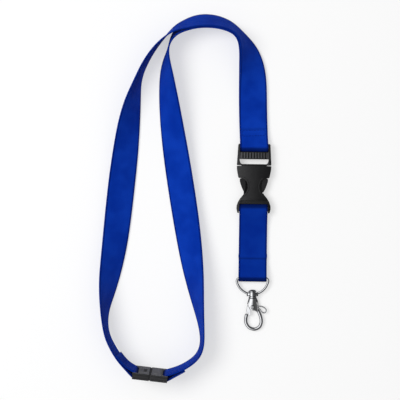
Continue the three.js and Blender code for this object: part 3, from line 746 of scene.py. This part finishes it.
# The outer strand comes up to the join once it is round the buckle's bar.
lower, upper = (run_at(OUTER, OUTER_RUN, y, NECK_TURN) for y in (JOIN_LOW, JOIN_HIGH))
join_box = sewn_box(OUTER, OUTER_RUN, lower, upper, TOP)
lower, upper = (run_at(INNER, INNER_RUN, y) for y in (JOIN_LOW, JOIN_HIGH))
join_box += sewn_box(INNER, INNER_RUN, lower, upper, -TOP)
thread("thread_neck_join", join_box, "neck", "neck_join_stitching")


def tail_threads(path, run):
    """A sewn box through both plies of a tail, seen on each side."""
    start, end = run[-1] - TAIL_SEWN_FROM, run[-1] - TAIL_SEWN_TO
    return [box for side in (TOP, UNDER_BOTH) for box in sewn_box(path, run, start, end, side)]


thread("thread_tail_socket", tail_threads(OUTER, OUTER_RUN), "neck", "tail_stitching_socket")
thread(
    "thread_tail_plug", tail_threads(INNER, INNER_RUN), "breakaway_half", "tail_stitching_plug"
)

seam_rows = []
for y in (-63.6, -65.4):
    spot = (BUCKLE @ Vector((0, y, 0))).y
    over = run_at(BADGE, BADGE_RUN, spot, 20, 1.2)
    seam_rows += sewn_line(BADGE, BADGE_RUN, (over, -9), (over, 9), TOP * 1.6)
    under = run_at(BADGE, BADGE_RUN, spot, over + 20)
    seam_rows += sewn_line(BADGE, BADGE_RUN, (under, -9), (under, 9), TOP)
thread("thread_badge_strap", seam_rows, "badge_half", "badge_strap_stitching")

# ---- plastic ----------------------------------------------------------------------------------


def local_bmesh(node, matrix):
    """A CAD node's welded mesh in millimetres in its part's own frame."""
    bm = bmesh.new()
    bm.from_mesh(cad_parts[node].data)
    bmesh.ops.remove_doubles(bm, verts=bm.verts, dist=2e-6)
    bm.transform((PLACE @ matrix).inverted())
    bmesh.ops.dissolve_limit(
        bm, angle_limit=math.radians(1), verts=bm.verts, edges=bm.edges,
        use_dissolve_boundaries=False,
    )
    return bm


def slice_along(bm, axis, places):
    for place in places:
        point, normal = Vector(), Vector()
        point[axis], normal[axis] = place, 1
        geometry = [*bm.verts, *bm.edges, *bm.faces]
        bmesh.ops.bisect_plane(bm, geom=geometry, plane_co=point, plane_no=normal, dist=1e-4)


def eased(bm, edges, offset, segments):
    """Rounds off the given edges and returns the new faces."""
    return bmesh.ops.bevel(
        bm, geom=edges, offset=offset, offset_type="OFFSET", segments=segments,
        profile=0.5, affect="EDGES", clamp_overlap=True,
    )["faces"]


def rounded(bm, offset, angle=32):
    sharp = [
        e for e in bm.edges
        if len(e.link_faces) == 2
        and e.calc_length() > 0
        and e.calc_face_angle() > math.radians(angle)
    ]
    eased(bm, sharp, offset, 3)


def from_bmesh(name, bm, matrix, material, angle=38):
    bmesh.ops.recalc_face_normals(bm, faces=bm.faces)
    bm.transform(PLACE @ matrix)
    mesh = bpy.data.meshes.new(name)
    bm.to_mesh(mesh)
    bm.free()
    mesh.materials.append(material)
    mesh.polygons.foreach_set("use_smooth", [True] * len(mesh.polygons))
    mesh.set_sharp_from_angle(angle=math.radians(angle))
    obj = bpy.data.objects.new(name, mesh)
    bpy.context.scene.collection.objects.link(obj)
    weighted = obj.modifiers.new("even_normals", "WEIGHTED_NORMAL")
    weighted.keep_sharp = True
    return obj


def crowned(bm, middle, half_width, share):
    """Thins a part toward its sides by a share, in a smooth curve."""
    for vert in bm.verts:
        fall = share * min(abs(vert.co.x) / half_width, 1.0) ** 2
        vert.co.z = middle + (vert.co.z - middle) * (1 - fall)


def add_block(bm, low, high):
    size = Matrix.Diagonal((*(Vector(high) - Vector(low)), 1))
    middle = Matrix.Translation((Vector(high) + Vector(low)) / 2)
    made = bmesh.ops.create_cube(bm, size=1, matrix=middle @ size)
    return {face for vert in made["verts"] for face in vert.link_faces}


GRIP_HALF, GRIP_LOW, GRIP_HIGH = 9.8, 5, 9.6
RIB_TOPS = BUCKLE_Z + 2.2


def plastic_piece(node, body, offset, crown=0.0, shade_web=None, ribs=False):
    """A part of the buckle: crowned in section, eased edges, and a thin black web closing the slot
    under its strap's fold, a dark sheet standing in for the shade there.
    """
    bm = local_bmesh(node, BUCKLE)
    if crown:
        slice_along(bm, 0, [x * 1.5 for x in range(-7, 8)])
        crowned(bm, BUCKLE_Z, BUCKLE_HALF, crown)
    # Grip ribs: tops painted lighter as painted highlight, hollows painted darker as painted
    # shade.
    if ribs:
        for face in bm.faces:
            spot = face.calc_center_median()
            if face.normal.z > 0.8 and abs(spot.x) < GRIP_HALF and GRIP_LOW < spot.y < GRIP_HIGH:
                face.material_index = 1 if spot.z > RIB_TOPS else 2
    rounded(bm, offset)
    if shade_web:
        add_block(bm, *shade_web)
    made = from_bmesh(f"{node}_moulded", bm, BUCKLE, PLASTIC)
    if ribs:
        made.data.materials.append(PLASTIC_RIB_HIGHLIGHT)
        made.data.materials.append(PLASTIC_RIB_SHADE)
    return finish_piece(made, body, "plastic", node)


# Black webs under the strap folds: dark sheets standing in for shade.
SOCKET_SHADE_WEB = ((-10.6, -32.6, 0.15), (10.6, -26.4, 0.65))
FRAME_SHADE_WEB = ((-10.8, 9.2, 0.15), (10.8, 15.6, 0.75))
plastic_piece("buckle_socket", "badge_half", 0.3, crown=SOCKET_CROWN, shade_web=SOCKET_SHADE_WEB)
plastic_piece("buckle_plug_frame", "neck", 0.16, crown=FRAME_CROWN, shade_web=FRAME_SHADE_WEB, ribs=True)
plastic_piece("buckle_arm_left", "arm_left", 0.35)
plastic_piece("buckle_arm_right", "arm_right", 0.35)

# Black paint in the clasp's grooves, latch window and mating gap is painted shade.
CLASP_GROOVES = ((-1.2, -0.8), (0.7, 1.05))
LATCH_WINDOW_SHADOW = ((-5, -3.9, -2.4), (-2.8, 3.9, -2.1))
MATING_GAP_SHADE = ((-0.6, -11.6, -1.95), (0.3, 11.6, 1.95))


def painted(faces, index):
    for face in faces:
        face.material_index = index


def clasp_piece(node, body, sign):
    """Half a clasp: a web beside its strap window, mating edges painted black as painted shade in
    the gap, grooves in its upper edge painted black and that edge painted darker than the faces,
    both painted shade, and on the socket's half a black block as the painted shadow of a latch
    window, on the plug's a lip painted black as painted shade in the mating gap."""
    bm = local_bmesh(node, CLASP)
    near, far = sorted((sign * 7.7, sign * 8.5))
    add_block(bm, (near, -10.2, -1.9), (far, 10.2, 1.9))
    mating = [
        # Mating edges are painted black: painted shade in the gap between the halves.
        e for e in bm.edges
        if len(e.link_faces) == 2 and e.calc_face_angle() > 1
        and all(abs(v.co.x) < 0.3 and abs(v.co.z) > 2 for v in e.verts)
    ]
    painted(eased(bm, mating, 0.6, 2), 2)
    rounded(bm, 0.15)
    upper = {f for f in bm.faces if f.normal.y > 0.95 and f.calc_center_median().y > 11.7}
    for place in (side for groove in CLASP_GROOVES for side in groove):
        edges, corner = (e for f in upper for e in f.edges), (v for f in upper for v in f.verts)
        parted = bmesh.ops.bisect_plane(
            bm, geom=list({*upper, *edges, *corner}), plane_co=(0, 0, place),
            plane_no=(0, 0, 1), dist=1e-4,
        )
        upper = {f for f in parted["geom"] if isinstance(f, bmesh.types.BMFace)}
    # The upper edge is painted darker than the faces: painted shade.
    painted(upper, 1)
    # Grooves painted black: painted shade.
    sunk = [
        f for f in upper
        if any(low < f.calc_center_median().z < high for low, high in CLASP_GROOVES)
    ]
    painted(sunk, 2)
    bmesh.ops.inset_region(bm, faces=sunk, thickness=0.03, depth=-0.35)
    # On the socket's half a black block is the painted shadow of the latch window; on the plug's
    # half a black sheet is painted shade in the mating gap.
    painted(add_block(bm, *(LATCH_WINDOW_SHADOW if sign < 0 else MATING_GAP_SHADE)), 2)
    made = from_bmesh(f"{node}_moulded", bm, CLASP, CLASP_PLASTIC)
    made.data.materials.append(CLASP_EDGE_SHADE)
    made.data.materials.append(PLASTIC)
    return finish_piece(made, body, "plastic", node)


clasp_piece("breakaway_socket", "neck", -1)
clasp_piece("breakaway_plug", "breakaway_half", 1)


def catmull(points, steps):
    """A smooth line through every point."""
    ends = [points[0] * 2 - points[1], *points, points[-1] * 2 - points[-2]]
    made = []
    for a, b, c, d in zip(ends, ends[1:], ends[2:], ends[3:]):
        for k in range(steps):
            t = k / steps
            made.append(
                (b * 2 + (c - a) * t + (a * 2 - b * 5 + c * 4 - d) * t**2
                 + (b * 3 - a - c * 3 + d) * t**3) / 2
            )
    made.append(points[-1])
    return made


def sweep(points, radii, sides=20, closed=False, flat=1.0):
    """A tube along points, each ring set level and square to the line."""
    verts, faces = [], []
    count = len(points)
    for i, point in enumerate(points):
        before = points[(i - 1) % count] if closed else points[max(i - 1, 0)]
        after = points[(i + 1) % count] if closed else points[min(i + 1, count - 1)]
        along = (after - before).normalized()
        side = UP.cross(along).normalized()
        rise = along.cross(side).normalized()
        radius = radii[i] if isinstance(radii, list) else radii
        for k in range(sides):
            a = 2 * math.pi * k / sides
            around = side * (math.cos(a) * radius) + rise * (math.sin(a) * radius * flat)
            verts.append(point + around)
    for i in range(count if closed else count - 1):
        for k in range(sides):
            j, n = (k + 1) % sides, (i + 1) % count
            faces.append((i * sides + k, i * sides + j, n * sides + j, n * sides + k))
    if not closed:
        faces.append(tuple(reversed(range(sides))))
        faces.append(tuple((count - 1) * sides + k for k in range(sides)))
    return verts, faces


def joined(shapes):
    """Several (verts, faces) shapes as one."""
    verts, faces = [], []
    for more, sides in shapes:
        faces += [tuple(len(verts) + k for k in side) for side in sides]
        verts += more
    return verts, faces


RIM_R = 0.36
RIM_SUNK = 0.06
WINDOW_RIM = [
    (10.6, -8.1), (8.4, -8.2), (5.9, -9.3), (4.2, -11.7), (3.6, -14.4), (3.9, -17.3),
    (5.3, -20.1), (7.1, -22), (9.4, -24.4),
]
STRAP_RIM = [(-7.4, -24.2), (0, -24), (7.4, -24.2)]


def raised_line(line, face):
    """A rim moulded proud of the socket's crowned face, tapering at both ends."""
    points = []
    for x, y in line:
        half = SOCKET_HALF_T * (1 - SOCKET_CROWN * min(abs(x) / BUCKLE_HALF, 1) ** 2)
        points.append(Vector((x, y, BUCKLE_Z + face * (half - RIM_SUNK))))
    path = catmull(points, 7)
    last = len(path) - 1
    radii = [RIM_R * min(1, 0.25 + 4 * min(i, last - i) / last) for i in range(last + 1)]
    return sweep(path, radii, 10, flat=0.7)


rim_lines = (WINDOW_RIM, [(-x, y) for x, y in WINDOW_RIM], STRAP_RIM)
rims = joined([raised_line(line, face) for face in (1, -1) for line in rim_lines])
finish_piece(
    add_object("buckle_socket_rims", *rims, PLASTIC, PLACE @ BUCKLE), "badge_half", "plastic"
)

# ---- chrome -----------------------------------------------------------------------------------


def turned(profile, sides=40):
    """A ring about y from a closed outline of (radius, y) rows."""
    verts, faces = [], []
    for radius, y in profile:
        for k in range(sides):
            a = 2 * math.pi * k / sides
            verts.append(Vector((math.cos(a) * radius, y, math.sin(a) * radius)))
    for i in range(len(profile)):
        n = (i + 1) % len(profile)
        for k in range(sides):
            j = (k + 1) % sides
            faces.append((i * sides + k, i * sides + j, n * sides + j, n * sides + k))
    return verts, faces


def chrome_copy(node, matrix, body, offset, shape=None):
    """A plated part: its own mesh reshaped by shape(point), with eased edges."""
    bm = local_bmesh(node, matrix)
    if shape:
        for vert in bm.verts:
            shape(vert.co)
    rounded(bm, offset, angle=40)
    made = from_bmesh(f"{node}_plated", bm, matrix, CHROME, angle=50)
    return finish_piece(made, body, "chrome", node)


def swollen_boss(point):
    """The ring's boss stands proud of the wire as a round knob."""
    on_boss = abs(point.x) < 2.3 and abs(point.y + RING_R) < 1.5
    if on_boss and math.hypot(point.x, point.z) > 1.6:
        point.x, point.z = point.x * 1.24, point.z * 1.24


def swollen_head(point):
    """The swivel's head and collar are fuller than its neck."""
    if abs(point.y) > 1.2:
        grow = 1.2 if point.y > 0 else 1.1
        point.x, point.z = point.x * grow, point.z * grow


def broad_shoulder(point):
    """The hook's shell is fullest below the swivel."""
    if -9.5 < point.y < -2.5:
        point.x *= 1 + 0.17 * min(1, (point.y + 9.5) / 3.5)


def crowned_nose(point):
    """The gate's nose thins toward its tip."""
    if point.x < -2:
        point.z *= 1 + 0.11 * (point.x + 2)


THUMB_LOOP = [
    (3, -8.9), (4.6, -8.8), (6.5, -9.2), (8.3, -10.4), (9.2, -12), (8.6, -13.3),
    (7.3, -13.7), (6.1, -13.1), (5.3, -11.9), (4.3, -10.6), (3, -9.9),
]
LOOP_FROM = 3.6
LOOP_WIRE_R = 0.42


def gate_copy():
    """The spring gate: its cast nose, its eased rim painted near-black as painted shade, and a
    thumb loop of plated wire.
    """
    bm = local_bmesh("hook_gate", HOOK)
    for vert in bm.verts:
        crowned_nose(vert.co)
    geometry = [*bm.verts, *bm.edges, *bm.faces]
    parted = bmesh.ops.bisect_plane(
        bm, geom=geometry, plane_co=(LOOP_FROM, 0, 0), plane_no=(1, 0, 0), clear_outer=True
    )
    open_edges = [e for e in parted["geom_cut"] if isinstance(e, bmesh.types.BMEdge)]
    bmesh.ops.holes_fill(bm, edges=open_edges, sides=0)
    rim = [
        e for e in bm.edges
        if len(e.link_faces) == 2 and e.calc_face_angle() > 1
        and all(abs(v.co.z) > 0.8 and v.co.x < -1.9 for v in e.verts)
    ]
    painted(eased(bm, rim, 0.6, 3), 1)
    line = catmull([Vector((x, y, 0)) for x, y in THUMB_LOOP], 6)
    verts, faces = sweep(line, LOOP_WIRE_R, 14, flat=1.3)
    made = [bm.verts.new(v) for v in verts]
    for face in faces:
        bm.faces.new([made[k] for k in face])
    piece = from_bmesh("hook_gate_plated", bm, HOOK, CHROME, angle=50)
    piece.data.materials.append(CHROME_SHADE)
    return piece


chrome_copy("d_ring", RING, "ring", 0.12, swollen_boss)
chrome_copy("swivel_stem", HOOK, "hook", 0.1, swollen_head)
chrome_copy("hook_body", HOOK, "hook", 0.12, broad_shoulder)
finish_piece(gate_copy(), "gate", "chrome", "hook_gate")
chrome_copy("gate_pin", HOOK, "hook", 0.06)


def circle(count):
    return [(math.cos(a), math.sin(a)) for a in (2 * math.pi * k / count for k in range(count))]


def shade_ring(radius, place, thick=0.24, tip=None):
    """A closed round bead of painted shade about y, or about y tipped by a matrix."""
    verts, faces = turned([(radius + thick * u, place + thick * v) for u, v in circle(10)])
    return [tip @ v for v in verts] if tip else verts, faces


# Beads and lines of near-black chrome: painted shade.
def shade_marks(name, shapes, matrix, body):
    made = add_object(name, *joined(shapes), CHROME_SHADE, PLACE @ matrix)
    finish_piece(made, body, "chrome")


# Dark lines along the hook body's sides and a dark ring at the swivel's joint: painted shade.
left_shade_line = [(-2.5, -2.9, 0), (-2.95, -3.8, 0), (-3.5, -5.8, 0), (-3.75, -7.1, 0)]
right_shade_line = [(2.5, -2.9, 0), (2.95, -3.8, 0), (3.45, -6, 0), (3.6, -8, 0), (3.95, -11, 0)]
side_shade_lines = [
    sweep(catmull([Vector(p) for p in line], 4), 0.26, 10) for line in (left_shade_line, right_shade_line)
]
shade_marks("hook_painted_shade", [shade_ring(2.35, -2.72), *side_shade_lines], HOOK, "hook")
# Dark rings either side of the ring's boss: painted shade where the boss meets the wire.
BOSS_FRAME = Matrix.Translation((0, -RING_R, 0)) @ Matrix.Rotation(math.radians(90), 4, "Z")
boss_shade_rings = [shade_ring(1.12, side * 3.7, 0.34, BOSS_FRAME) for side in (-1, 1)]
shade_marks("d_ring_painted_shade", boss_shade_rings, RING, "ring")
PIN_X, PIN_Y = -0.4, -9
PIN_SHADE_R = 1.32


def pin_shade_ring(height):
    """A dark ring of painted shade round one head of the gate's pin."""
    loop = [Vector((PIN_X + PIN_SHADE_R * u, PIN_Y + PIN_SHADE_R * v, height)) for u, v in circle(40)]
    return sweep(loop, 0.17, 10, closed=True)


shade_marks("gate_pin_painted_shade", [pin_shade_ring(2.02), pin_shade_ring(-2.02)], HOOK, "hook")
leaf = [Vector(p) for p in ((-1.8, -6.52, 0), (-1, -6.38, 0), (0, -6.36, 0), (1, -6.52, 0))]
leaf_shape = sweep(catmull(leaf, 8), 0.16, 14, flat=3.4)
leaf_spring = add_object("gate_leaf_spring", *leaf_shape, CHROME, PLACE @ HOOK)
finish_piece(leaf_spring, "hook", "chrome", "gate_spring")

# The straps are left out of what polished surfaces mirror, so metal stays neutral.
for strap in (outer, inner, badge):
    strap.visible_glossy = False

# ---- table, light and camera ------------------------------------------------------------------


TABLE_HALF = 3.0
TABLE_CLEAR = 0.0002
CAMERA_LENS, CAMERA_SENSOR = 126.0, 36.0
CAMERA_OFFSET = Vector((0.01026, -0.0025, 0))
CAMERA_HEIGHT = 1.0


def add_floor():
    level = cad_bounds[0][2] - TABLE_CLEAR
    around = ((-1, -1), (1, -1), (1, 1), (-1, 1))
    verts = [Vector((x * TABLE_HALF, y * TABLE_HALF, level)) for x, y in around]
    floor = add_object("table", verts, [(0, 1, 2, 3)], floor_material(), Matrix.Identity(4))


def add_light(name, place, aim, size, power):
    data = bpy.data.lights.new(name, "AREA")
    data.shape = "DISK"
    data.size = size
    data.energy = power
    lamp = bpy.data.objects.new(name, data)
    lamp.location = place
    lamp.rotation_euler = (Vector(aim) - Vector(place)).to_track_quat("-Z", "Y").to_euler()
    bpy.context.scene.collection.objects.link(lamp)
    return lamp


def add_world():
    """A pale studio, brightest overhead for matt surfaces. What polished surfaces mirror is a pale
    wall on the left, a dim room on the right and a dark horizon, which gives metal its shape."""
    world = bpy.data.worlds.new("studio")
    bpy.context.scene.world = world
    world.use_nodes = True
    tree = world.node_tree
    tree.nodes.clear()

    def levels(source, stops):
        node = tree.nodes.new("ShaderNodeValToRGB")
        node.color_ramp.interpolation = "B_SPLINE"
        bands = node.color_ramp.elements
        for band, (at, level) in zip(bands, (stops[0], stops[-1])):
            band.position, band.color = at, (level, level, level, 1)
        for at, level in stops[1:-1]:
            bands.new(at).color = (level, level, level, 1)
        tree.links.new(source, node.inputs[0])
        return node.outputs[0]

    spot = tree.nodes.new("ShaderNodeTexCoord")
    split = tree.nodes.new("ShaderNodeSeparateXYZ")
    tree.links.new(spot.outputs["Generated"], split.inputs[0])
    wall = tree.nodes.new("ShaderNodeMapRange")
    for socket, value in zip(wall.inputs[1:5], (-1, 1, 0, 1)):
        socket.default_value = value
    tree.links.new(split.outputs[0], wall.inputs[0])
    matt = levels(split.outputs[2], ((0, 0.054), (0.4, 0.107), (0.75, 0.313), (1, 0.47)))
    height = levels(split.outputs[2], ((0, 0.1), (0.28, 0.12), (0.48, 1), (1, 1)))
    sideways = levels(
        wall.outputs[0], ((0, 0.6), (0.22, 0.8), (0.4, 0.6), (0.52, 0.1), (0.62, 0.02), (1, 0.08))
    )
    both = tree.nodes.new("ShaderNodeMix")
    both.data_type, both.blend_type = "RGBA", "MULTIPLY"
    both.inputs[0].default_value = 1
    tree.links.new(height, both.inputs[6])
    tree.links.new(sideways, both.inputs[7])
    ray = tree.nodes.new("ShaderNodeLightPath")
    choice = tree.nodes.new("ShaderNodeMix")
    choice.data_type = "RGBA"
    tree.links.new(ray.outputs["Is Glossy Ray"], choice.inputs[0])
    tree.links.new(matt, choice.inputs[6])
    tree.links.new(both.outputs[2], choice.inputs[7])
    backdrop = tree.nodes.new("ShaderNodeMix")
    backdrop.data_type = "RGBA"
    tree.links.new(ray.outputs["Is Camera Ray"], backdrop.inputs[0])
    tree.links.new(choice.outputs[2], backdrop.inputs[6])
    backdrop.inputs[7].default_value = (0.46, 0.46, 0.465, 1)
    glow = tree.nodes.new("ShaderNodeBackground")
    tree.links.new(backdrop.outputs[2], glow.inputs["Color"])
    glow.inputs["Strength"].default_value = 1.9
    output = tree.nodes.new("ShaderNodeOutputWorld")
    tree.links.new(glow.outputs[0], output.inputs[0])


def add_camera():
    """Straight above, looking down."""
    low, high = (Vector(c) for c in cad_bounds)
    data = bpy.data.cameras.new("camera")
    data.lens = CAMERA_LENS
    data.sensor_width = CAMERA_SENSOR
    data.clip_start, data.clip_end = 0.05, 20
    camera = bpy.data.objects.new("camera", data)
    camera.location = (low + high) / 2 + CAMERA_OFFSET
    camera.location.z = CAMERA_HEIGHT
    bpy.context.scene.collection.objects.link(camera)
    bpy.context.scene.camera = camera


add_floor()
add_light("key", (-0.75, 0.2, 1.15), (0, 0, 0), 0.8, 12.0).visible_glossy = False
add_world()
add_camera()
bpy.context.scene.view_settings.view_transform = "Standard"
bpy.context.view_layer.update()
